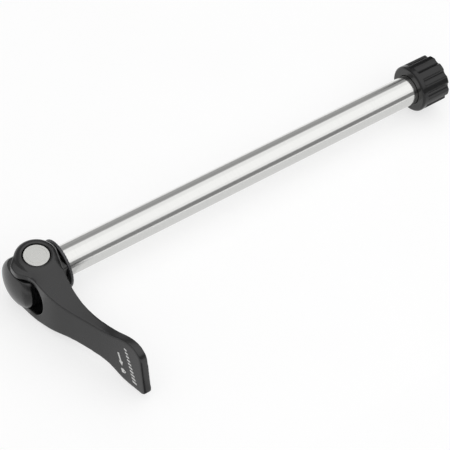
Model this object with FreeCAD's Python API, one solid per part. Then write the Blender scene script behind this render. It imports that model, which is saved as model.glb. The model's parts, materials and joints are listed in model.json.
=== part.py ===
import FreeCAD, Part
import math
import os
from FreeCAD import Vector

# Bicycle thru axle with a quick-release cam lever, lying with the lever closed.
# Millimetres. The axle runs along +X to its thread, and X = 0 is the face that seats on the frame.
# The cam shaft stands along Z behind that face, and the closed lever points along -Y.

# Axle: a hollow turned shank with a flat-sided eye at the head and a thread at the far end
shank_d = 12.0
shank_length = 164.0
journal_undercut = 0.25
runout_undercut = 0.3
thread_undercut = 0.07
runout_length = 1.8
thread_relief = 1.0
thread_length = 8.2
thread_pitch = 1.5
thread_depth = 0.92
end_chamfer = 0.9
axle_bore_d = 6.5
axle_bore_floor = 25.0
eye_flat_depth = 0.75
eye_wall = 2.5
head_neck = 3.4

# Cam shaft: a headed shaft whose middle is eccentric
cam_throw = 0.8
cam_d = 6.0
cam_step = 0.4
drive_cut = 0.7
shaft_head_ledge = 0.6
shaft_head_height = 1.6
shaft_head_sink = 0.5
shaft_head_chamfer = 0.12
shaft_foot_sink = 0.6
turned_line_inset = 1.0
turned_line_width = 0.3
turned_line_depth = 0.1

# Cam housing: a barrel about the axle with a domed outer end, a flat on each side and a relief by the lever
barrel_wall = 3.9
side_wall = 1.95
cavity_floor_gap = 0.6
dome_wall = 4.4
dome_depth = 5.4
dome_shoulder = 4.0
relief_step = 1.2
relief_wall = 1.6
spigot_wall = 1.6
spigot_length = 0.6

# Contact washer, with teeth round its seat face and a knurled rim
washer_inset = 0.1
washer_thickness = 1.3
washer_edge = 0.25
tooth_count = 48
tooth_depth = 0.25
tooth_land = 1.4
knurl_count = 80
knurl_depth = 0.15

# Flanged bushes
bush_wall = 0.7
bush_flange_thickness = 0.4
bush_flange_width = 1.2

# Lever: two arms with an eye, a nose on the upper arm, a stem swept toward the frame and a flared paddle
arm_thickness = 3.1
boss_height = 1.4
eye_lip = 0.65
eye_round = 2.35
nose_length = 2.05
nose_drop = 2.4
nose_angle = 45.0
nose_corner = 2.3
nose_root_along = 6.2
nose_root_out = 7.2
lower_arm_along = 8.0
lower_arm_out = 7.1
lower_arm_angle = 8.0
crotch_radius = 10.5

# Stations down the lever: distance from the pin, outward offset of the outer face, thickness and half width
root_along = 12.0
root_out = 6.3
root_thickness = 11.0
root_taper = 0.2
root_edge = 0.2
stem_along = 18.0
stem_out = 5.0
stem_thickness = 8.9
stem_half_width = 9.1
waist_along = 25.0
waist_out = 2.2
waist_thickness = 6.2
waist_half_width = 7.8
neck_along = 33.0
neck_out = -1.0
neck_thickness = 4.2
neck_half_width = 7.6
flare_along = 42.0
flare_out = -4.1
flare_thickness = 3.5
flare_half_width = 8.7
paddle_along = 48.6
paddle_out = -5.7
paddle_thickness = 3.1
paddle_half_width = 11.1
tip_length = 9.4
tip_out = -7.2
tip_thickness = 3.1
tip_lean = 12.5
tip_upper_half_width = 11.8
tip_lower_half_width = 9.2
tip_upper_radius = 5.8
tip_lower_radius = 2.4

# Retaining ring on the foot of the cam shaft
ring_thickness = 0.6
ring_width = 1.9
ring_opening = 2.6
groove_depth = 0.4

# Thread cap: a ribbed closed sleeve with a plain collar at its mouth
cap_wall = 3.57
cap_draft = 0.05
cap_floor = 1.9
cap_collar_length = 2.3
cap_mouth_depth = 1.2
cap_mouth_edge = 0.6
cap_end_edge = 0.3
cap_rib_count = 10
cap_groove_d = 4.1
cap_groove_depth = 1.0

# Fits, as radial or face clearances
running_clearance = 0.05
press_clearance = 0.02
cam_clearance = 0.3
head_clearance = 0.35
arm_gap = 0.1
crotch_gap = 1.2
shoulder_gap = 0.4
cap_clearance = 0.05
cap_mouth_clearance = 0.1
cap_gap = 0.15
cap_end_gap = 0.5
overrun = 1.0

# Diameters and places along the axle that follow from these
journal_d = shank_d - 2 * journal_undercut
bore_d = journal_d + 2 * running_clearance
runout_d = shank_d - 2 * runout_undercut
thread_d = shank_d - 2 * thread_undercut
axle_end = shank_length + runout_length + thread_relief + thread_length
eye_half_height = journal_d / 2 - eye_flat_depth
eye_reach = cam_throw + cam_d / 2 + cam_clearance + eye_wall
pin_x = -(eye_reach + head_neck)
barrel_d = bore_d + 2 * barrel_wall
barrel_reach = eye_reach + cavity_floor_gap + dome_wall - dome_depth
spigot_d = bore_d + 2 * spigot_wall
washer_bore_d = shank_d + 4 * running_clearance
washer_d = barrel_d - 2 * washer_inset

# Diameters and heights along the cam shaft that follow from these
upper_journal_d = cam_d + 2 * cam_throw + 2 * cam_step
lower_journal_d = cam_d - 2 * cam_throw - 2 * cam_step
shaft_head_d = upper_journal_d + 2 * shaft_head_ledge
recess_d = shaft_head_d + 2 * head_clearance
crest_r = recess_d / 2 + eye_lip
eye_d = 2 * (crest_r + eye_round)
flat_half = eye_half_height + running_clearance + side_wall
arm_inner = flat_half + bush_flange_thickness + arm_gap
arm_outer = arm_inner + arm_thickness
boss_top = arm_outer + boss_height
shaft_head_top = boss_top - shaft_head_sink
head_seat = shaft_head_top - shaft_head_height
ring_seat = -head_seat

# Places along the lever that follow from these
dome_rim = barrel_d / 2 - dome_shoulder
crotch_along = math.hypot(barrel_reach, dome_rim) + dome_shoulder + crotch_gap
nose_reach = eye_d / 2 + nose_length
tip_along = paddle_along + tip_length
reach = 2 * tip_along

X = Vector(1, 0, 0)
Y = Vector(0, 1, 0)
Z = Vector(0, 0, 1)


def cylinder_x(d, x0, x1):
    """A cylinder about the axle's axis."""
    return Part.makeCylinder(d / 2, x1 - x0, Vector(x0, 0, 0), X)


def cylinder_z(d, z0, z1, x=pin_x):
    """A cylinder about an upright axis."""
    return Part.makeCylinder(d / 2, z1 - z0, Vector(x, 0, z0), Z)


def block(x0, x1, y0, y1, z0, z1):
    """A box from its lowest and highest corners."""
    return Part.makeBox(x1 - x0, y1 - y0, z1 - z0, Vector(x0, y0, z0))


def turned(outline):
    """A solid turned about the axle's axis from (x, radius) points."""
    points = [Vector(x, r, 0) for x, r in outline]
    face = Part.Face(Part.makePolygon(points + points[:1]))
    return face.revolve(Vector(0, 0, 0), X, 360)


def smooth(points, first, last):
    """One smooth edge through the points, with its directions at both ends."""
    curve = Part.BSplineCurve()
    places = [Vector(*p) for p in points]
    curve.interpolate(Points=places, InitialTangent=Vector(*first), FinalTangent=Vector(*last))
    return curve.toShape()


def heading(a, b):
    """The direction from one point to another."""
    return tuple((Vector(*b) - Vector(*a)).normalize())


def line(a, b):
    """A straight edge between two points."""
    return Part.makeLine(Vector(*a), Vector(*b))


def corner(before, point, after, radius):
    """The arc that rounds a corner, as its start, its middle and its end."""
    a = (Vector(*before) - Vector(*point)).normalize()
    b = (Vector(*after) - Vector(*point)).normalize()
    half = a.getAngle(b) / 2
    middle = (a + b).normalize()
    setback = radius / math.tan(half)
    centre = Vector(*point) + middle * (radius / math.sin(half))
    return Vector(*point) + a * setback, centre - middle * radius, Vector(*point) + b * setback


def arc(points):
    """A circular edge through three points."""
    return Part.Arc(*points).toShape()


def extruded(edges, direction, low=-reach, high=reach):
    """A solid from a closed flat outline, pushed along a direction from one height to another."""
    face = Part.Face(Part.Wire(Part.__sortEdges__(edges)))
    face.translate(direction * low)
    return face.extrude(direction * (high - low))


def axle():
    """The hollow shank, with its eye, thread run-out and thread."""
    eye_end = pin_x - eye_reach
    thread_start = shank_length + runout_length + thread_relief
    core_r = thread_d / 2 - thread_depth
    body = turned([
        (eye_end, 0),
        (eye_end, journal_d / 2),
        (-shoulder_gap, journal_d / 2),
        (0, shank_d / 2),
        (shank_length, shank_d / 2),
        (shank_length, runout_d / 2),
        (shank_length + runout_length, runout_d / 2),
        (shank_length + runout_length, core_r),
        (axle_end, core_r),
        (axle_end, 0),
    ])
    body = body.fuse(thread(thread_start, core_r))
    body = body.cut(cylinder_x(axle_bore_d, axle_bore_floor, axle_end + overrun))
    eye_flat_end = pin_x + eye_reach
    for side in (1, -1):
        low, high = sorted((side * eye_half_height, side * shank_d))
        body = body.cut(block(eye_end - overrun, eye_flat_end, -shank_d, shank_d, low, high))
    return body.cut(cam_slot())


def thread(start, core_r):
    """One helical ridge on the thread's core, trimmed square at its root and tapered at the end."""
    crest_r = thread_d / 2
    sunk = core_r - thread_depth / 10
    root_half = thread_pitch * 7 / 16
    crest_half = thread_pitch / 16
    section = [
        Vector(sunk, 0, -root_half),
        Vector(crest_r, 0, -crest_half),
        Vector(crest_r, 0, crest_half),
        Vector(sunk, 0, root_half),
    ]
    helix = Part.Wire(Part.makeHelix(thread_pitch, thread_length + thread_pitch, core_r))
    ridge = helix.makePipeShell([Part.makePolygon(section + section[:1])], True, True)
    ridge.translate(Vector(0, 0, -thread_pitch / 2))
    ridge.rotate(Vector(0, 0, 0), Y, 90)
    ridge.translate(Vector(start, 0, 0))
    envelope = turned([
        (start, 0),
        (start, crest_r + overrun),
        (axle_end - end_chamfer - overrun, crest_r + overrun),
        (axle_end, crest_r - end_chamfer),
        (axle_end, 0),
    ])
    return ridge.common(envelope)


def cam_slot():
    """The upright slot in the axle's eye that the eccentric works in, long enough for its throw."""
    centre = pin_x - cam_throw
    half_x = cam_d / 2 + cam_clearance
    half_y = cam_d / 2 + cam_throw + cam_clearance
    round_y = half_y - half_x
    slot = block(centre - half_x, centre + half_x, -round_y, round_y, -shank_d, shank_d)
    for y in (-round_y, round_y):
        end = cylinder_z(2 * half_x, -shank_d, shank_d, centre)
        end.translate(Vector(0, y, 0))
        slot = slot.fuse(end)
    return slot


def cam_housing():
    """The domed barrel, bored for the axle's eye and across for the bushes."""
    dome_x = pin_x - barrel_reach
    barrel_r = barrel_d / 2
    tip_x = dome_x - dome_depth
    crown_r = (dome_depth ** 2 + dome_rim ** 2 - dome_shoulder ** 2) / (2 * (dome_depth - dome_shoulder))
    turn = math.atan2(dome_rim, crown_r - dome_depth)

    def crown(angle):
        return Vector(tip_x + crown_r * (1 - math.cos(angle)), crown_r * math.sin(angle), 0)

    half_turn = (turn + math.pi / 2) / 2
    bend_x = dome_x - dome_shoulder * math.cos(half_turn)
    bend = Vector(bend_x, dome_rim + dome_shoulder * math.sin(half_turn), 0)
    dome = [
        arc((crown(0), crown(turn / 2), crown(turn))),
        arc((crown(turn), bend, Vector(dome_x, barrel_r, 0))),
    ]
    corners = [
        (dome_x, barrel_r, 0),
        (-washer_thickness, barrel_r, 0),
        (-washer_thickness, spigot_d / 2, 0),
        (spigot_length - washer_thickness, spigot_d / 2, 0),
        (spigot_length - washer_thickness, 0, 0),
        (tip_x, 0, 0),
    ]
    edges = dome + [line(a, b) for a, b in zip(corners, corners[1:])]
    body = Part.Face(Part.Wire(Part.__sortEdges__(edges))).revolve(Vector(0, 0, 0), X, 360)
    for side in (1, -1):
        low, high = sorted((side * flat_half, side * barrel_d))
        body = body.cut(block(dome_x - 2 * dome_depth, -washer_thickness, -barrel_d, barrel_d, low, high))
    relief_x = dome_x - relief_step
    relief_y = -(bore_d / 2 + relief_wall)
    body = body.cut(block(relief_x, -washer_thickness, -barrel_d, relief_y, -barrel_d, barrel_d))
    floor_x = pin_x - eye_reach - cavity_floor_gap
    step_x = pin_x + eye_reach - shoulder_gap
    ceiling = eye_half_height + running_clearance
    deep = cylinder_x(bore_d, floor_x, 0).common(block(floor_x, 0, -barrel_d, barrel_d, -ceiling, ceiling))
    body = body.cut(deep)
    body = body.cut(cylinder_x(bore_d, step_x, 0))
    body = body.cut(cylinder_z(cam_d + 2 * cam_throw + 2 * cam_clearance, -ceiling, ceiling))
    body = body.cut(cylinder_z(bush_outer_d(upper_journal_d) + 2 * press_clearance, 0, barrel_d))
    return body.cut(cylinder_z(bush_outer_d(lower_journal_d) + 2 * press_clearance, -barrel_d, 0))


def bush_outer_d(journal):
    """Outside of the bush that runs on a journal."""
    return journal + 2 * running_clearance + 2 * bush_wall


def bush(journal, side):
    """A flanged bush in the housing's side wall, with its flange on the flat."""
    inner_d = journal + 2 * running_clearance
    outer_d = bush_outer_d(journal)
    start = eye_half_height + running_clearance
    body = cylinder_z(outer_d, start, flat_half)
    flange_d = outer_d + 2 * bush_flange_width
    body = body.fuse(cylinder_z(flange_d, flat_half, flat_half + bush_flange_thickness))
    body = body.cut(cylinder_z(inner_d, 0, barrel_d)).removeSplitter()
    if side < 0:
        body.rotate(Vector(pin_x, 0, 0), X, 180)
    return body


def contact_washer():
    """The washer on the housing's spigot, with radial teeth on its seat face."""
    r = washer_d / 2
    bore_r = washer_bore_d / 2
    pocket_x = spigot_length - washer_thickness + press_clearance
    body = turned([
        (-washer_thickness, spigot_d / 2 + press_clearance),
        (-washer_thickness, r - washer_edge),
        (-washer_thickness + washer_edge, r),
        (-washer_edge, r),
        (0, r - washer_edge),
        (0, bore_r),
        (pocket_x, bore_r),
        (pocket_x, spigot_d / 2 + press_clearance),
    ])
    tip = Vector(-tooth_depth, 0, 0)
    flare = Vector(tooth_depth, 0, 2 * tooth_depth)
    groove = Part.Face(Part.makePolygon([tip, flare, flare - Z * (4 * tooth_depth), tip]))
    groove.translate(Y * (bore_r + tooth_land))
    groove = groove.extrude(Y * r)
    notch = Part.Face(Part.makePolygon([
        Vector(-washer_thickness, 0, r - knurl_depth),
        Vector(-washer_thickness, 2 * knurl_depth, r + knurl_depth),
        Vector(-washer_thickness, -2 * knurl_depth, r + knurl_depth),
        Vector(-washer_thickness, 0, r - knurl_depth),
    ])).extrude(X * washer_thickness)
    body = body.cut(ring_of(groove, tooth_count))
    return body.cut(ring_of(notch, knurl_count))


def ring_of(shape, count):
    """Copies of a shape spaced evenly round the axle's axis."""
    copies = []
    for i in range(count):
        copy = shape.copy()
        copy.rotate(Vector(0, 0, 0), X, 360 * i / count)
        copies.append(copy)
    return Part.makeCompound(copies)


def cam_shaft():
    """The headed shaft: head, driving neck, upper journal, eccentric, lower journal and foot."""
    head = cylinder_z(shaft_head_d, head_seat, shaft_head_top)
    rim = [e for e in head.Edges if abs(e.BoundBox.ZMin - shaft_head_top) < 1e-6]
    body = head.makeChamfer(shaft_head_chamfer, rim)
    neck = cylinder_z(upper_journal_d, arm_inner, head_seat)
    body = body.fuse(neck.common(drive(0)))
    body = body.fuse(cylinder_z(upper_journal_d, eye_half_height, arm_inner))
    body = body.fuse(cylinder_z(cam_d, -eye_half_height, eye_half_height, pin_x - cam_throw))
    body = body.fuse(cylinder_z(lower_journal_d, shaft_foot_sink - boss_top, -eye_half_height))
    groove_z = ring_seat - ring_thickness - press_clearance
    groove = cylinder_z(2 * lower_journal_d, groove_z, ring_seat)
    groove = groove.cut(cylinder_z(lower_journal_d - 2 * groove_depth, groove_z, ring_seat))
    line_d = shaft_head_d - 2 * turned_line_inset
    turned_line = cylinder_z(line_d, shaft_head_top - turned_line_depth, boss_top)
    turned_line = turned_line.cut(cylinder_z(line_d - 2 * turned_line_width, head_seat, boss_top))
    return body.cut(groove).cut(turned_line).removeSplitter()


def drive(clearance):
    """The pair of flats that lock the shaft's neck to the lever."""
    half = upper_journal_d / 2 - drive_cut + clearance
    return block(pin_x - half, pin_x + half, -barrel_d, barrel_d, 0, barrel_d)


def retaining_ring():
    """An open ring snapped into the groove near the shaft's foot."""
    bottom = ring_seat - ring_thickness
    ring_d = lower_journal_d + 2 * ring_width
    body = cylinder_z(ring_d, bottom, ring_seat)
    body = body.cut(cylinder_z(lower_journal_d - 2 * groove_depth + 2 * press_clearance, bottom, ring_seat))
    gap = block(pin_x, pin_x + ring_d, -ring_opening / 2, ring_opening / 2, bottom, ring_seat)
    return body.cut(gap)


def lever_side(along, out):
    """A point of the lever's side view, from its distance down the lever and outward offset."""
    return (pin_x - out, -along, 0)


def lever_plan(along, z):
    """A point of the lever's face view, from its distance down the lever and height."""
    return (0, -along, z)


def stations():
    """The lever's stations in order from the arms to the paddle."""
    return [
        (root_along, root_out, root_thickness, arm_outer - root_taper),
        (stem_along, stem_out, stem_thickness, stem_half_width),
        (waist_along, waist_out, waist_thickness, waist_half_width),
        (neck_along, neck_out, neck_thickness, neck_half_width),
        (flare_along, flare_out, flare_thickness, flare_half_width),
        (paddle_along, paddle_out, paddle_thickness, paddle_half_width),
    ]


def lever_outer():
    """Points of the outer face in side view, from the root to beyond the tip."""
    points = [lever_side(along, out) for along, out, thickness, half in stations()]
    return points + [lever_side(lever_end(), tip_out)]


def lever_inner():
    """Points of the inner face in side view, from the root to beyond the tip."""
    points = [lever_side(along, out - thickness) for along, out, thickness, half in stations()]
    return points + [lever_side(lever_end(), tip_out - tip_thickness)]


def lever_end():
    """A distance down the lever that lies beyond every corner of its tip."""
    return tip_along + tip_lower_half_width * math.tan(math.radians(tip_lean)) + tip_lower_radius


def root_heading():
    """The direction of the outer face where the arms join the stem."""
    return heading(lever_side(nose_root_along, nose_root_out), lever_outer()[1])


def lever_stem():
    """The side view below the arms: swept stem and paddle, pushed through the width."""
    outer = lever_outer()
    inner = lever_inner()
    edges = [
        smooth(outer, root_heading(), heading(outer[-2], outer[-1])),
        line(outer[-1], inner[-1]),
        smooth(inner, heading(inner[0], inner[1]), heading(inner[-2], inner[-1])),
        line(inner[0], outer[0]),
    ]
    return extruded(edges, Z)


def eye_point(angle):
    """A point on the eye's circle in side view, by its angle from the outward direction toward the tip."""
    turn = math.radians(angle)
    return lever_side(eye_d / 2 * math.sin(turn), eye_d / 2 * math.cos(turn))


def heel():
    """Where the arms' inner face leaves the eye's circle, straight toward the stem's inner face."""
    along, across = -lever_inner()[0][1], lever_inner()[0][0] - pin_x
    turn = math.acos(eye_d / 2 / math.hypot(along, across))
    return eye_point(180 - math.degrees(math.atan2(along, across) - turn))


def upper_arm():
    """The upper arm's side view: eye, outward nose and the curve from it to the stem."""
    root = lever_outer()[0]
    start = eye_point(-nose_angle)
    slope = math.radians(nose_angle)
    rise = eye_d / 2 * math.sin(slope) - (nose_reach - eye_d / 2 * math.cos(slope)) / math.tan(slope)
    nose_top = lever_side(-rise, nose_reach)
    nose_foot = lever_side(nose_drop, nose_reach)
    nose_root = lever_side(nose_root_along, nose_root_out)
    top_arc = corner(start, nose_top, nose_foot, nose_corner)
    foot_arc = corner(nose_top, nose_foot, nose_root, nose_corner)
    foot = tuple(foot_arc[2])
    edges = [
        line(start, top_arc[0]),
        arc(top_arc),
        line(top_arc[2], foot_arc[0]),
        arc(foot_arc),
        smooth([foot, nose_root, root], heading(nose_foot, nose_root), root_heading()),
        line(root, lever_inner()[0]),
        line(lever_inner()[0], heel()),
        arc([Vector(*p) for p in (heel(), eye_point(180), start)]),
    ]
    return extruded(edges, Z, 0, arm_outer)


def lower_arm():
    """The lower arm's side view: eye and a nearly straight outer face, with no nose."""
    root = lever_outer()[0]
    start = eye_point(lower_arm_angle)
    middle = lever_side(lower_arm_along, lower_arm_out)
    leave = math.radians(lower_arm_angle)
    edges = [
        smooth([start, middle, root], (math.sin(leave), -math.cos(leave), 0), root_heading()),
        line(root, lever_inner()[0]),
        line(lever_inner()[0], heel()),
        arc([Vector(*p) for p in (heel(), eye_point(180 + lower_arm_angle), start)]),
    ]
    return extruded(edges, Z, -arm_outer, 0)


def lever_plan_solid():
    """The lever's face view pushed through its depth: sloping arms, waist and slanted paddle."""
    behind = -eye_d
    edge = [lever_plan(along, half) for along, out, thickness, half in stations()]
    lower_edge = [(x, y, -z) for x, y, z in edge]
    lean = math.tan(math.radians(tip_lean))
    top_corner = lever_plan(tip_along - tip_upper_half_width * lean, tip_upper_half_width)
    low_corner = lever_plan(tip_along + tip_lower_half_width * lean, -tip_lower_half_width)
    top_arc = corner(edge[-1], top_corner, low_corner, tip_upper_radius)
    low_arc = corner(top_corner, low_corner, lower_edge[-1], tip_lower_radius)
    top = lever_plan(recess_d / 2, boss_top)
    low = lever_plan(recess_d / 2, -boss_top)
    low_heading = heading(lower_edge[-1], low_corner)
    edges = [
        line(lever_plan(behind, -boss_top), lever_plan(behind, boss_top)),
        line(lever_plan(behind, boss_top), top),
        line(top, edge[0]),
        smooth(edge + [tuple(top_arc[0])], heading(top, edge[0]), heading(edge[-1], top_corner)),
        arc(top_arc),
        line(top_arc[2], low_arc[0]),
        arc(low_arc),
        smooth(lower_edge + [tuple(low_arc[2])], heading(low, lower_edge[0]), low_heading),
        line(lower_edge[0], low),
        line(low, lever_plan(behind, -boss_top)),
    ]
    return extruded(edges, X)


def crotch_solid():
    """The space between the arms, closed by an arc that clears the dome as the lever swings."""
    open_end = -eye_d
    rise = crotch_radius - math.sqrt(crotch_radius ** 2 - arm_inner ** 2)
    upper = lever_plan(crotch_along - rise, arm_inner)
    lower = lever_plan(crotch_along - rise, -arm_inner)
    deepest = lever_plan(crotch_along, 0)
    edges = [
        line(lever_plan(open_end, -arm_inner), lever_plan(open_end, arm_inner)),
        line(lever_plan(open_end, arm_inner), upper),
        arc([Vector(*p) for p in (upper, deepest, lower)]),
        line(lower, lever_plan(open_end, -arm_inner)),
    ]
    return extruded(edges, X)


def eye_height(out, along):
    """Height of the eye's rounded rim over a point of the side view."""
    beyond = max(0.0, math.hypot(out, along) - crest_r)
    return boss_top - eye_round + math.sqrt(max(0.0, eye_round ** 2 - beyond ** 2))


def eye(side):
    """The eye round the cam shaft: a short barrel whose rim is rounded over to the recess."""
    round_z = boss_top - eye_round
    turn = math.sqrt(0.5)
    centre = pin_x + crest_r
    outline = [
        line((pin_x, 0, arm_inner), (centre + eye_round, 0, arm_inner)),
        line((centre + eye_round, 0, arm_inner), (centre + eye_round, 0, round_z)),
        arc([
            Vector(centre + eye_round, 0, round_z),
            Vector(centre + eye_round * turn, 0, round_z + eye_round * turn),
            Vector(centre, 0, boss_top),
        ]),
        line((centre, 0, boss_top), (pin_x, 0, boss_top)),
        line((pin_x, 0, boss_top), (pin_x, 0, arm_inner)),
    ]
    face = Part.Face(Part.Wire(Part.__sortEdges__(outline)))
    body = face.revolve(Vector(pin_x, 0, 0), Z, 360)
    if side < 0:
        body.rotate(Vector(pin_x, 0, 0), X, 180)
    return body


def crest(side):
    """The raised back of an arm, which runs from the eye's rim down to the stem."""
    near = recess_d / 2
    half = math.sqrt(eye_d ** 2 / 4 - near ** 2)
    shares = (-1, -0.8, -0.4, 0.4, 0.8, 1)
    root_top = arm_outer - root_taper
    near_line = [(-half, arm_inner)]
    near_line += [(half * share, eye_height(half * share, near)) for share in shares]
    near_line += [(half, arm_inner)]
    far_half = root_thickness / 2
    far_line = [(root_out - 2 * far_half, arm_inner)]
    for share in shares:
        drop = root_edge if abs(share) == 1 else 0
        far_line.append((root_out - far_half + far_half * share, root_top - drop))
    far_line += [(root_out, arm_inner)]
    wires = []
    for along, points in ((near, near_line), (root_along, far_line)):
        corners = [Vector(pin_x - out, -along, side * z) for out, z in points]
        wires.append(Part.makePolygon(corners + corners[:1]))
    return Part.makeLoft(wires, True, True)


def lever():
    """The forged fork lever, bored for the cam shaft's head, neck and foot."""
    body = lever_stem().fuse([upper_arm(), lower_arm()])
    body = body.common(lever_plan_solid()).cut(crotch_solid())
    body = body.fuse([crest(1), crest(-1), eye(1), eye(-1)])
    body = body.cut(cylinder_z(recess_d, head_seat, reach))
    body = body.cut(cylinder_z(recess_d, -reach, ring_seat))
    neck = cylinder_z(upper_journal_d + 2 * press_clearance, 0, reach).common(drive(press_clearance))
    body = body.cut(neck)
    return body.cut(cylinder_z(lower_journal_d + 2 * press_clearance, -reach, 0)).removeSplitter()


def thread_cap():
    """The closed push-on cap: plain collar, ribbed skirt, and a bore with a wider mouth."""
    start = shank_length + cap_gap
    end = axle_end + cap_end_gap + cap_floor
    collar_end = start + cap_collar_length
    inner_d = thread_d + 2 * cap_clearance
    collar_r = inner_d / 2 + cap_wall
    far_r = collar_r - cap_draft
    body = turned([
        (start, 0),
        (start, collar_r - cap_mouth_edge),
        (start + cap_mouth_edge, collar_r),
        (collar_end, collar_r),
        (end - cap_end_edge, far_r),
        (end, far_r - cap_end_edge),
        (end, 0),
    ])
    lean = math.degrees(math.atan2(cap_draft, end - collar_end))
    groove_r = cap_groove_d / 2
    groove = Part.makeCylinder(groove_r, end + overrun - collar_end, Vector(collar_end, 0, 0), X)
    groove.rotate(Vector(collar_end, 0, 0), Z, -lean)
    groove.translate(Vector(0, collar_r + groove_r - cap_groove_depth, 0))
    grooves = []
    for i in range(cap_rib_count):
        copy = groove.copy()
        copy.rotate(Vector(0, 0, 0), X, 360 * (i + 0.5) / cap_rib_count)
        grooves.append(copy)
    body = body.cut(Part.makeCompound(grooves))
    body = body.cut(cylinder_x(inner_d, start, end - cap_floor))
    return body.cut(cylinder_x(shank_d + 2 * cap_mouth_clearance, start, start + cap_mouth_depth))


pieces = {
    "axle": axle(),
    "cam_housing": cam_housing(),
    "contact_washer": contact_washer(),
    "cam_shaft": cam_shaft(),
    "upper_bush": bush(upper_journal_d, 1),
    "lower_bush": bush(lower_journal_d, -1),
    "retaining_ring": retaining_ring(),
    "lever": lever(),
    "thread_cap": thread_cap(),
}

os.makedirs("parts", exist_ok=True)
for name, shape in pieces.items():
    shape.exportStep("parts/" + name + ".step")
    print(name, "solids", len(shape.Solids), "valid", shape.isValid(), "volume", round(shape.Volume, 2))
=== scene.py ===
import json
import math

import bpy
from mathutils import Matrix, Vector

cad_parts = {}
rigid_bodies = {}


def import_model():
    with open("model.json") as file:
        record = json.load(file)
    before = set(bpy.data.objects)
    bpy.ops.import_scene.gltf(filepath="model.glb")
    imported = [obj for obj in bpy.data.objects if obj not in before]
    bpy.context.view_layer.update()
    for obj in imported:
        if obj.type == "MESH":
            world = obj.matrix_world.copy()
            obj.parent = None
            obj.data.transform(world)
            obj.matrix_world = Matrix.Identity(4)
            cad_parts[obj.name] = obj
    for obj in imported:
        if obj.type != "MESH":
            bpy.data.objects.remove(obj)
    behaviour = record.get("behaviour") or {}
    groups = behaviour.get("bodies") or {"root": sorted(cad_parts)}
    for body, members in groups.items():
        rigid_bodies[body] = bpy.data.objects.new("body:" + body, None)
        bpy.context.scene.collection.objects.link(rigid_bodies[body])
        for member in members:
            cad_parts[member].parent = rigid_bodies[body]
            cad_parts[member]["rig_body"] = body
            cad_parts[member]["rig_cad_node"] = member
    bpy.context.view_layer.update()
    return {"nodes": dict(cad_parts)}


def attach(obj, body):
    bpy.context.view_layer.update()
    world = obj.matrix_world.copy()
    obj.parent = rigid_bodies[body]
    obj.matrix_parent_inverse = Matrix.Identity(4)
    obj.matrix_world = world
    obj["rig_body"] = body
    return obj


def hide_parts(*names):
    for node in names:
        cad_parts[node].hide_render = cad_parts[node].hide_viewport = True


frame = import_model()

# Bicycle thru axle lying on a pale table: a satin tube, a black forked lever and cam housing, and
# a ribbed cap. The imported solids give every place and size. The lever, housing, washer, cap and
# tube are copies of their solids, all but the tube with the rounds of a forging or a moulding,
# and the lever carries a small white print.

MM = 0.001
PIN_X = -10.0 * MM  # the cam shaft's axis crosses the tube's here and runs along Z
EYE_ZONE = 6.2 * MM  # round that axis, where the lever's eye keeps its edges
BORE_ZONE = 6.3 * MM  # round that axis, where the housing's bores keep their size
VALLEY_FLOOR = 6.0 * MM  # the hollows beside the lever's eye lie above this height
WASHER_RIM = 9.68 * MM  # radius of the washer's rim, out to the barrel's edge
MERGED = 0.001 * MM  # corners closer than this become one
SHARP_EDGE = math.radians(35)  # the tube's edges that bend more than this stay sharp

PRINT_LINE = Vector((0, -0.350, -0.937))  # the way that the print's rows run
PRINT_RISE = Vector((0, -0.937, 0.350))  # up from one row to the other
PRINT_OUT = Vector((-1, 0, 0))  # out of the paddle's face
PATCH_CELLS = 4
PATCH_NEAR = 0.05  # how close to a row or column of a patch its corners are
CORNER = 0.45  # a patch's corners lie past this on both sides
SCALE_BARS = 10
BAR_PITCH = 1.64  # mm from bar to bar
BAR_DROP = 0.06  # mm that each bar's middle lies below the next one's
INK_LIFT = 0.03 * MM
INK_FILM = 0.04 * MM

TABLE_TOP = -12.0 * MM
TABLE_SIDE = 6.0
STUDIO_X = 0.35  # lights and cards over the tube are centred this far along it
STUDIO_LENGTH = 2.6
STUDIO_GREY = 0.41


def linear(hex_colour):
    """An sRGB hex colour as linear red, green, blue and alpha."""
    channels = [int(hex_colour[i:i + 2], 16) / 255 for i in (1, 3, 5)]
    return [c / 12.92 if c <= 0.04045 else ((c + 0.055) / 1.055) ** 2.4 for c in channels] + [1.0]


def add(tree, kind, settings=None, links=None):
    """A node in a tree: settings go to its sockets or properties, links bring outputs in."""
    node = tree.nodes.new(kind)
    for key, value in (settings or {}).items():
        if isinstance(key, str) and hasattr(node, key):
            setattr(node, key, value)
        else:
            node.inputs[key].default_value = value
    for key, source in (links or {}).items():
        tree.links.new(source, node.inputs[key])
    return node


def new_material(name):
    """An empty node material with its output, as material, tree and output node."""
    material = bpy.data.materials.new(name)
    material.use_nodes = True
    material.node_tree.nodes.clear()
    return material, material.node_tree, add(material.node_tree, "ShaderNodeOutputMaterial")


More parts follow.
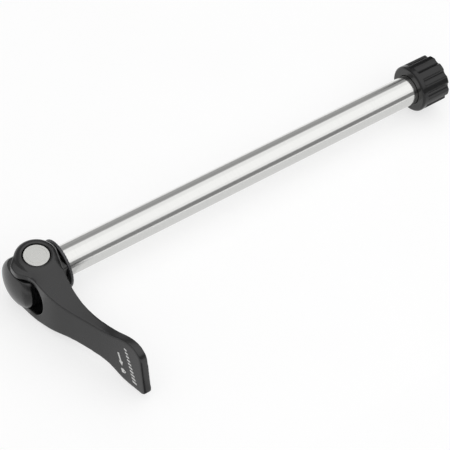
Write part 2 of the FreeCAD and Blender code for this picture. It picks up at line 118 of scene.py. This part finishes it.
def turned_aluminium():
    """6061 aluminium, turned and polished: a bright satin tube with faint rings round it."""
    material, tree, output = new_material("turned_satin_aluminium")
    place = add(tree, "ShaderNodeTexCoord").outputs["Object"]
    # The tool's feed is near 0.1 mm, drawn as 0.5 mm rings so that they show, almost even all round
    squeezed = add(tree, "ShaderNodeMapping", {"Scale": (1 / (0.5 * MM), 30, 30)},
                   {"Vector": place})
    rings = add(tree, "ShaderNodeTexNoise", {"Scale": 1.0, "Detail": 3.0, "Roughness": 0.6},
                {"Vector": squeezed.outputs["Vector"]})
    # Handling leaves slow changes of sheen about 25 mm long
    haze = add(tree, "ShaderNodeTexNoise", {"Scale": 1 / (25 * MM), "Detail": 4.0},
               {"Vector": place})
    colour = add(tree, "ShaderNodeMix",
                 {"data_type": "RGBA", 6: linear("#E0E0DE"), 7: linear("#E8E8E6")},
                 {0: rings.outputs["Fac"]})
    sheen = add(tree, "ShaderNodeMapRange", {"To Min": 0.11, "To Max": 0.19},
                {"Value": haze.outputs["Fac"]})
    relief = add(tree, "ShaderNodeBump", {"Strength": 0.05, "Distance": 0.01 * MM},
                 {"Height": rings.outputs["Fac"]})
    shader = add(tree, "ShaderNodeBsdfPrincipled", {"Metallic": 1.0},
                 {"Base Color": colour.outputs[2], "Roughness": sheen.outputs["Result"],
                  "Normal": relief.outputs["Normal"]})
    tree.links.new(shader.outputs["BSDF"], output.inputs["Surface"])
    return material


def painted_forging():
    """Forged aluminium under baked satin black paint: a charcoal sheen that shifts with the film,
    over a fine skin."""
    material, tree, output = new_material("black_painted_forged_aluminium")
    place = add(tree, "ShaderNodeTexCoord").outputs["Object"]
    # Paint skin over the blasted forging, about 0.6 mm
    skin = add(tree, "ShaderNodeTexNoise", {"Scale": 1 / (0.6 * MM), "Detail": 3.0},
               {"Vector": place})
    # Slow changes of film thickness, about 9 mm
    film = add(tree, "ShaderNodeTexNoise", {"Scale": 1 / (9 * MM), "Detail": 3.0},
               {"Vector": place})
    colour = add(tree, "ShaderNodeMix",
                 {"data_type": "RGBA", 6: linear("#0F0F10"), 7: linear("#161617")},
                 {0: film.outputs["Fac"]})
    sheen = add(tree, "ShaderNodeMapRange", {"To Min": 0.22, "To Max": 0.30},
                {"Value": film.outputs["Fac"]})
    relief = add(tree, "ShaderNodeBump", {"Strength": 0.10, "Distance": 0.03 * MM},
                 {"Height": skin.outputs["Fac"]})
    shader = add(tree, "ShaderNodeBsdfPrincipled", {"IOR": 1.62},
                 {"Base Color": colour.outputs[2], "Roughness": sheen.outputs["Result"],
                  "Normal": relief.outputs["Normal"]})
    tree.links.new(shader.outputs["BSDF"], output.inputs["Surface"])
    return material


def moulded_nylon():
    """Black moulded nylon: half glossy, with the mould's fine spark grain."""
    material, tree, output = new_material("black_moulded_nylon")
    place = add(tree, "ShaderNodeTexCoord").outputs["Object"]
    # Spark grain of about 0.1 mm, drawn as 0.35 mm
    grain = add(tree, "ShaderNodeTexNoise", {"Scale": 1 / (0.35 * MM), "Detail": 2.0},
                {"Vector": place})
    # Flow of the melt, about 5 mm
    flow = add(tree, "ShaderNodeTexNoise", {"Scale": 1 / (5 * MM), "Detail": 2.0},
               {"Vector": place})
    colour = add(tree, "ShaderNodeMix",
                 {"data_type": "RGBA", 6: linear("#0E0E0F"), 7: linear("#151516")},
                 {0: flow.outputs["Fac"]})
    sheen = add(tree, "ShaderNodeMapRange", {"To Min": 0.16, "To Max": 0.24},
                {"Value": grain.outputs["Fac"]})
    relief = add(tree, "ShaderNodeBump", {"Strength": 0.12, "Distance": 0.03 * MM},
                 {"Height": grain.outputs["Fac"]})
    shader = add(tree, "ShaderNodeBsdfPrincipled", {"IOR": 1.50},
                 {"Base Color": colour.outputs[2], "Roughness": sheen.outputs["Result"],
                  "Normal": relief.outputs["Normal"]})
    tree.links.new(shader.outputs["BSDF"], output.inputs["Surface"])
    return material


def faced_steel():
    """Plated steel faced on a lathe: pale silver with fine rings about the cam shaft's own axis."""
    material, tree, output = new_material("nickel_plated_turned_steel")
    place = add(tree, "ShaderNodeTexCoord").outputs["Object"]
    centred = add(tree, "ShaderNodeMapping", {"Location": (-PIN_X, 0, 0), "Scale": (1, 1, 0)},
                  {"Vector": place})
    radius = add(tree, "ShaderNodeVectorMath", {"operation": "LENGTH"},
                 {0: centred.outputs["Vector"]})
    # Facing feed near 0.1 mm, drawn as 0.3 mm rings
    steps = add(tree, "ShaderNodeMath", {"operation": "MULTIPLY", 1: 1 / (0.3 * MM)},
                {0: radius.outputs["Value"]})
    rings = add(tree, "ShaderNodeTexNoise",
                {"noise_dimensions": "1D", "Scale": 1.0, "Detail": 2.0},
                {"W": steps.outputs["Value"]})
    colour = add(tree, "ShaderNodeMix",
                 {"data_type": "RGBA", 6: linear("#D6D6D3"), 7: linear("#E2E2DF")},
                 {0: rings.outputs["Fac"]})
    sheen = add(tree, "ShaderNodeMapRange", {"To Min": 0.24, "To Max": 0.32},
                {"Value": rings.outputs["Fac"]})
    relief = add(tree, "ShaderNodeBump", {"Strength": 0.05, "Distance": 0.01 * MM},
                 {"Height": rings.outputs["Fac"]})
    shader = add(tree, "ShaderNodeBsdfPrincipled", {"Metallic": 1.0},
                 {"Base Color": colour.outputs[2], "Roughness": sheen.outputs["Result"],
                  "Normal": relief.outputs["Normal"]})
    tree.links.new(shader.outputs["BSDF"], output.inputs["Surface"])
    return material


def moulded_acetal():
    """Acetal bushing resin, moulded: a waxy dark brown with a faint sheen."""
    material, tree, output = new_material("brown_moulded_acetal")
    place = add(tree, "ShaderNodeTexCoord").outputs["Object"]
    # Flow of the melt, about 2 mm
    flow = add(tree, "ShaderNodeTexNoise", {"Scale": 1 / (2 * MM), "Detail": 3.0},
               {"Vector": place})
    colour = add(tree, "ShaderNodeMix",
                 {"data_type": "RGBA", 6: linear("#3A332C"), 7: linear("#4A4138")},
                 {0: flow.outputs["Fac"]})
    shader = add(tree, "ShaderNodeBsdfPrincipled", {"IOR": 1.48, "Roughness": 0.42},
                 {"Base Color": colour.outputs[2]})
    tree.links.new(shader.outputs["BSDF"], output.inputs["Surface"])
    return material


def printed_ink():
    """White pad-printed ink: flat and slightly thin in places, so the paint greys it a little."""
    material, tree, output = new_material("white_pad_printed_ink")
    place = add(tree, "ShaderNodeTexCoord").outputs["Object"]
    # The ink's cover changes over about 0.5 mm
    cover = add(tree, "ShaderNodeTexNoise", {"Scale": 1 / (0.5 * MM), "Detail": 2.0},
                {"Vector": place})
    colour = add(tree, "ShaderNodeMix",
                 {"data_type": "RGBA", 6: linear("#BDBDBC"), 7: linear("#F2F2F0")},
                 {0: cover.outputs["Fac"]})
    shader = add(tree, "ShaderNodeBsdfPrincipled", {"IOR": 1.5, "Roughness": 0.5},
                 {"Base Color": colour.outputs[2]})
    tree.links.new(shader.outputs["BSDF"], output.inputs["Surface"])
    return material


def pale_table():
    """Opal acrylic of a light table, lit from below so that shadows stay faint."""
    material, tree, output = new_material("opal_acrylic_light_table")
    place = add(tree, "ShaderNodeTexCoord").outputs["Object"]
    # A barely seen mottle of about 40 mm
    mottle = add(tree, "ShaderNodeTexNoise", {"Scale": 1 / (40 * MM), "Detail": 2.0},
                 {"Vector": place})
    colour = add(tree, "ShaderNodeMix",
                 {"data_type": "RGBA", 6: linear("#A6A6A6"), 7: linear("#AAAAAA")},
                 {0: mottle.outputs["Fac"]})
    shader = add(tree, "ShaderNodeBsdfPrincipled",
                 {"Roughness": 0.9, "Specular IOR Level": 0.1, "Emission Color": linear("#FFFFFF"),
                  "Emission Strength": 0.66},
                 {"Base Color": colour.outputs[2]})
    tree.links.new(shader.outputs["BSDF"], output.inputs["Surface"])
    return material


def anodised_knurl():
    """Aluminium anodised black after knurling: dark grey with a metal's sheen, clouded where the
    dye took unevenly."""
    material, tree, output = new_material("black_anodised_knurled_aluminium")
    place = add(tree, "ShaderNodeTexCoord").outputs["Object"]
    # Clouds of dye of about 1.5 mm
    cloud = add(tree, "ShaderNodeTexNoise", {"Scale": 1 / (1.5 * MM), "Detail": 3.0},
                {"Vector": place})
    colour = add(tree, "ShaderNodeMix",
                 {"data_type": "RGBA", 6: linear("#4A4A4C"), 7: linear("#5E5E60")},
                 {0: cloud.outputs["Fac"]})
    sheen = add(tree, "ShaderNodeMapRange", {"To Min": 0.3, "To Max": 0.45},
                {"Value": cloud.outputs["Fac"]})
    shader = add(tree, "ShaderNodeBsdfPrincipled", {"Metallic": 1.0},
                 {"Base Color": colour.outputs[2], "Roughness": sheen.outputs["Result"]})
    tree.links.new(shader.outputs["BSDF"], output.inputs["Surface"])
    return material


def studio_card(name, strength):
    """An even glow for a card in the studio."""
    material, tree, output = new_material(name)
    shader = add(tree, "ShaderNodeEmission", {"Color": linear("#FFFFFF"), "Strength": strength})
    tree.links.new(shader.outputs["Emission"], output.inputs["Surface"])
    return material


def choose(piece):
    """Leave only this piece selected and active."""
    bpy.ops.object.select_all(action="DESELECT")
    piece.select_set(True)
    bpy.context.view_layer.objects.active = piece


def dress(piece, material):
    """One material over the whole piece."""
    piece.data.materials.clear()
    piece.data.materials.append(material)


def copy_of(node, name):
    """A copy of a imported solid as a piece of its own, with its loose triangles merged."""
    choose(frame["nodes"][node])
    bpy.ops.object.duplicate()
    piece = bpy.context.active_object
    piece.name = name
    piece.data.name = name
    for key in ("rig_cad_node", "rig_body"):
        del piece[key]
    bpy.ops.object.parent_clear(type="CLEAR_KEEP_TRANSFORM")
    bpy.ops.mesh.customdata_custom_splitnormals_clear()
    bpy.ops.object.mode_set(mode="EDIT")
    bpy.ops.mesh.select_all(action="SELECT")
    bpy.ops.mesh.remove_doubles(threshold=MERGED)
    bpy.ops.object.mode_set(mode="OBJECT")
    return piece


def from_pin(vertex):
    """How far a corner is from the cam shaft's axis."""
    return math.hypot(vertex.co.x - PIN_X, vertex.co.y)


def rounded(piece, voxel, passes, spared=0.0):
    """Wrap a piece in an even skin and ease its edges, as a die or a mould leaves them.

    What lies within the spared distance of the cam shaft's axis stays as it is."""
    choose(piece)
    piece.data.remesh_voxel_size = voxel
    bpy.ops.object.voxel_remesh()
    eased = [vertex.index for vertex in piece.data.vertices if from_pin(vertex) > spared]
    skin = piece.vertex_groups.new(name="skin")
    skin.add(eased, 1.0, "REPLACE")
    ease = piece.modifiers.new("ease", "SMOOTH")
    ease.factor = 0.5
    ease.iterations = passes
    ease.vertex_group = "skin"
    bpy.ops.object.modifier_apply(modifier="ease")
    piece.vertex_groups.clear()
    bpy.ops.object.shade_smooth()
    return piece


def ease_valley(piece, start, end, reach, times):
    """Smooth the top of the lever near a line in plan, given in millimetres, where the die leaves
    a soft hollow beside the eye."""
    start, end = Vector(start) * MM, Vector(end) * MM
    run = end - start
    bpy.ops.object.mode_set(mode="EDIT")
    bpy.ops.mesh.select_mode(type="VERT")
    bpy.ops.mesh.select_all(action="DESELECT")
    bpy.ops.object.mode_set(mode="OBJECT")
    for vertex in piece.data.vertices:
        plan = vertex.co.xy
        share = min(1, max(0, (plan - start).dot(run) / run.length_squared))
        beside_eye = vertex.co.z > VALLEY_FLOOR and from_pin(vertex) > EYE_ZONE
        vertex.select = beside_eye and (plan - start - run * share).length < reach
    bpy.ops.object.mode_set(mode="EDIT")
    bpy.ops.mesh.vertices_smooth(factor=0.5, repeat=times)
    bpy.ops.object.mode_set(mode="OBJECT")


paint = painted_forging()
aluminium = turned_aluminium()
steel = faced_steel()
nylon = moulded_nylon()
acetal = moulded_acetal()
ink = printed_ink()

# The lever: a forging with eased edges
lever_forging = rounded(copy_of("lever", "lever_forging"), voxel=0.22 * MM, passes=48)
ease_valley(lever_forging, (-14.2, -3.2), (-14.6, -7.6), reach=2.4 * MM, times=60)
ease_valley(lever_forging, (-2.8, -2.6), (-4.6, -7.4), reach=2.0 * MM, times=60)
dress(lever_forging, paint)
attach(lever_forging, "lever")
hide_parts("lever")

# The domed housing
housing_dome = rounded(copy_of("cam_housing", "housing_dome"), voxel=0.2 * MM, passes=14,
                       spared=BORE_ZONE)
dress(housing_dome, paint)
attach(housing_dome, "head")
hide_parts("cam_housing")

# The ribbed cap
cap_moulding = rounded(copy_of("thread_cap", "cap_moulding"), voxel=0.2 * MM, passes=6)
dress(cap_moulding, nylon)
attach(cap_moulding, "cap")
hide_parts("thread_cap")

# The washer, its knurl softened, and its eased rim brought back out to the barrel's edge
washer_ring = rounded(copy_of("contact_washer", "washer_ring"), voxel=0.12 * MM, passes=12)
eased_rim = max(math.hypot(vertex.co.y, vertex.co.z) for vertex in washer_ring.data.vertices)
bpy.ops.object.mode_set(mode="EDIT")
bpy.ops.mesh.select_all(action="SELECT")
bpy.ops.transform.resize(value=(1, WASHER_RIM / eased_rim, WASHER_RIM / eased_rim),
                         center_override=(0, 0, 0))
bpy.ops.object.mode_set(mode="OBJECT")
dress(washer_ring, anodised_knurl())
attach(washer_ring, "head")
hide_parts("contact_washer")

# The tube, shaded round
axle_tube = copy_of("axle", "axle_tube")
choose(axle_tube)
bpy.ops.object.shade_smooth_by_angle(angle=SHARP_EDGE)
dress(axle_tube, aluminium)
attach(axle_tube, "axle")
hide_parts("axle")

# The solids that stay as they are
dress(frame["nodes"]["cam_shaft"], steel)
dress(frame["nodes"]["retaining_ring"], steel)
dress(frame["nodes"]["upper_bush"], acetal)
dress(frame["nodes"]["lower_bush"], acetal)


def print_place(row, along, across):
    """Where a mark lies in a row of the print, in the plane in front of the paddle's outer face."""
    turned = Matrix((PRINT_LINE, PRINT_RISE, PRINT_OUT)).transposed().to_4x4()
    return Matrix.Translation(row) @ turned @ Matrix.Translation((along * MM, across * MM, 0))


def open_patch():
    """A square patch of ink, one unit wide, open for editing with nothing selected."""
    bpy.ops.object.select_all(action="DESELECT")
    bpy.ops.mesh.primitive_grid_add(x_subdivisions=PATCH_CELLS, y_subdivisions=PATCH_CELLS, size=1)
    bpy.ops.object.mode_set(mode="EDIT")
    bpy.ops.mesh.select_mode(type="VERT")
    bpy.ops.mesh.select_all(action="DESELECT")
    return bpy.context.active_object


def pick(patch, wanted):
    """Select a patch's corners by place while it is open, and nothing else."""
    bpy.ops.mesh.select_all(action="DESELECT")
    bpy.ops.object.mode_set(mode="OBJECT")
    for vertex in patch.data.vertices:
        vertex.select = wanted(vertex.co)
    bpy.ops.object.mode_set(mode="EDIT")


def lay(patch, place, length, height):
    """Close a patch and lay it at its place and size in millimetres."""
    bpy.ops.object.mode_set(mode="OBJECT")
    patch.matrix_world = place @ Matrix.Diagonal((length * MM, height * MM, 1, 1))
    choose(patch)
    bpy.ops.object.transform_apply(location=True, rotation=True, scale=True)
    return patch


def bar(place, length, height, lean=0.0):
    """A bar of the print whose ends lean along its row."""
    patch = open_patch()
    for row in (-0.5, -0.25, 0.25, 0.5):
        pick(patch, lambda co: abs(co.y - row) < PATCH_NEAR)
        bpy.ops.transform.translate(value=(lean * row, 0, 0))
    return lay(patch, place, length, height)


def arrow_head(place, length, height):
    """A patch drawn to a point along its row."""
    patch = open_patch()
    for column in (-0.25, 0.0, 0.25, 0.5):
        pick(patch, lambda co: abs(co.x - column) < PATCH_NEAR)
        bpy.ops.transform.resize(value=(1, 0.5 - column, 1))
    bpy.ops.mesh.select_all(action="SELECT")
    bpy.ops.mesh.remove_doubles(threshold=0.001)
    return lay(patch, place, length, height)


def padlock_body(place, length, height):
    """A patch with cut corners."""
    patch = open_patch()
    pick(patch, lambda co: abs(co.x) > CORNER and abs(co.y) > CORNER)
    bpy.ops.mesh.bevel(offset=0.12, segments=2, affect="VERTICES")
    return lay(patch, place, length, height)


def padlock_bow(place, radius, width):
    """Half a flat ring that stands on the padlock's body."""
    bpy.ops.object.select_all(action="DESELECT")
    bpy.ops.mesh.primitive_circle_add(vertices=24, radius=1, fill_type="NOTHING")
    ring = bpy.context.active_object
    bpy.ops.object.mode_set(mode="EDIT")
    bpy.ops.mesh.select_all(action="SELECT")
    bpy.ops.mesh.extrude_edges_move()
    grown = 1 + width / radius
    bpy.ops.transform.resize(value=(grown, grown, 1))
    bpy.ops.mesh.select_all(action="SELECT")
    bpy.ops.mesh.bisect(plane_co=(0, 0, 0), plane_no=(0, 1, 0), clear_inner=True)
    bpy.ops.mesh.select_all(action="SELECT")
    bpy.ops.mesh.normals_make_consistent(inside=False)
    return lay(ring, place, radius, radius)


# The white print on the paddle: a scale of bars that grow along it, beside an arrow to a closed
# padlock
long_row = Vector((-22, -51.55, -0.05)) * MM
short_row = Vector((-22, -47.0, -2.6)) * MM
marks = []
for step in range(SCALE_BARS):
    across = -0.1 - BAR_DROP * (SCALE_BARS - 1 - step)
    place = print_place(long_row, -7.4 + BAR_PITCH * step, across)
    marks.append(bar(place, length=0.8, height=1.1 + 0.12 * step, lean=0.6))
marks.append(bar(print_place(short_row, -2.9, 0), length=4.2, height=0.7))
marks.append(arrow_head(print_place(short_row, 0.2, 0), length=2.2, height=1.9))
marks.append(padlock_body(print_place(short_row, 3.7, -0.35), length=2.1, height=1.4))
marks.append(padlock_bow(print_place(short_row, 3.7, 0.35), radius=0.45, width=0.35))
choose(marks[0])
for mark in marks:
    mark.select_set(True)
bpy.ops.object.join()
lever_print = bpy.context.active_object
lever_print.name = "lever_print"
lever_print.data.name = "lever_print"
wrap = lever_print.modifiers.new("wrap", "SHRINKWRAP")
wrap.target = lever_forging
wrap.wrap_method = "PROJECT"
wrap.wrap_mode = "ABOVE_SURFACE"
wrap.use_project_x = True
wrap.use_negative_direction = False
wrap.use_positive_direction = True
wrap.offset = INK_LIFT
bpy.ops.object.modifier_apply(modifier="wrap")
film = lever_print.modifiers.new("film", "SOLIDIFY")
film.thickness = INK_FILM
film.offset = -1
bpy.ops.object.modifier_apply(modifier="film")
dress(lever_print, ink)
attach(lever_print, "lever")

# Table, lights and camera
bpy.ops.object.select_all(action="DESELECT")
bpy.ops.mesh.primitive_grid_add(x_subdivisions=8, y_subdivisions=8, size=TABLE_SIDE,
                                location=(0, 0, TABLE_TOP))
table = bpy.context.active_object
table.name = "table"
bpy.ops.object.transform_apply(location=True, rotation=True, scale=True)
dress(table, pale_table())


def facing(place, across):
    """A plane's place that faces the origin, with its long side along a direction."""
    way = place.normalized()
    side = way.cross(across).normalized()
    return Matrix.Translation(place) @ Matrix((side.cross(way), side, way)).transposed().to_4x4()


def over_tube(angle, distance):
    """A place that faces the tube from an angle about it, counted from +Y toward +Z."""
    turn = math.radians(angle)
    place = facing(Vector((0, math.cos(turn), math.sin(turn))) * distance, Vector((1, 0, 0)))
    return Matrix.Translation((STUDIO_X, 0, 0)) @ place


def on_table(x, y, height):
    """A place flat over the table."""
    return Matrix.Translation((x, y, TABLE_TOP + height))


def softbox(name, low, high, distance, radiance):
    """A long soft light over the tube between two angles."""
    light = bpy.data.lights.new(name, "AREA")
    light.shape = "RECTANGLE"
    light.size = STUDIO_LENGTH
    light.size_y = 2 * distance * math.tan(math.radians(high - low) / 2)
    light.energy = radiance * math.pi * light.size * light.size_y
    lamp = bpy.data.objects.new(name, light)
    bpy.context.scene.collection.objects.link(lamp)
    lamp.matrix_world = over_tube((low + high) / 2, distance)
    lamp.visible_camera = False


def card(name, place, length, width, strength):
    """A card that only reflections see: a gap between lights, or a shaded part of the table."""
    bpy.ops.object.select_all(action="DESELECT")
    bpy.ops.mesh.primitive_grid_add(x_subdivisions=4, y_subdivisions=1, size=1)
    piece = bpy.context.active_object
    piece.name = name
    piece.matrix_world = place @ Matrix.Diagonal((length, width, 1, 1))
    bpy.ops.object.transform_apply(location=True, rotation=True, scale=True)
    dress(piece, studio_card(name, strength))
    piece.visible_camera = False
    piece.visible_diffuse = False
    piece.visible_shadow = False


left_gap = facing(Vector((-0.85, -0.20, 0.42)), Vector((-0.2, 0.85, 0)))
right_gap = facing(Vector((0.92, 0.48, 0.20)), Vector((-0.48, 0.92, 0)))
# Places for three dim cards on the table, by the lever, the paddle's tip and the tube: painted
# shade of the table, seen only in reflections
by_lever = on_table(-0.028, -0.056, 0.1 * MM)
by_tip = on_table(-0.011, -0.086, 0.2 * MM)
by_tube = on_table(0.118, -0.056, 0.1 * MM)
softbox("overhead_softbox", low=54, high=151, distance=1.0, radiance=0.61)
softbox("hot_centre", low=82, high=134, distance=0.96, radiance=0.12)
card("front_gap", over_tube(165, 0.98), length=STUDIO_LENGTH, width=0.44, strength=0.25)
card("back_gap", over_tube(38, 0.98), length=STUDIO_LENGTH, width=0.36, strength=0.35)
card("left_gap", left_gap, length=0.9, width=0.45, strength=0.55)
# The three cards on the table are painted shade: dim sheets where the object's shade would fall,
# seen only in reflections
card("table_shade_by_lever", by_lever, length=0.064, width=0.10, strength=0.58)
card("table_shade_by_tip", by_tip, length=0.022, width=0.052, strength=0.2)
card("table_shade_by_tube", by_tube, length=0.228, width=0.10, strength=0.77)
card("right_gap", right_gap, length=0.9, width=0.5, strength=0.05)

world = bpy.data.worlds.new("studio")
world.use_nodes = True
background = world.node_tree.nodes["Background"]
background.inputs["Color"].default_value = linear("#FFFFFF")
background.inputs["Strength"].default_value = STUDIO_GREY
bpy.context.scene.world = world

# The photograph's own view, fitted to the tube's edges and the disc
camera = bpy.data.cameras.new("photo_camera")
camera.sensor_width = 36
camera.lens = 154.15
camera.clip_start = 0.01
viewer = bpy.data.objects.new("photo_camera", camera)
bpy.context.scene.collection.objects.link(viewer)
right, up = Vector((0.8078, -0.5838, 0.0812)), Vector((0.4119, 0.6576, 0.6309))
turned = Matrix((right, up, right.cross(up))).transposed().to_4x4()
viewer.matrix_world = Matrix.Translation((-0.23969, -0.35733, 0.55081)) @ turned
bpy.context.scene.camera = viewer
bpy.context.scene.view_settings.view_transform = "Standard"
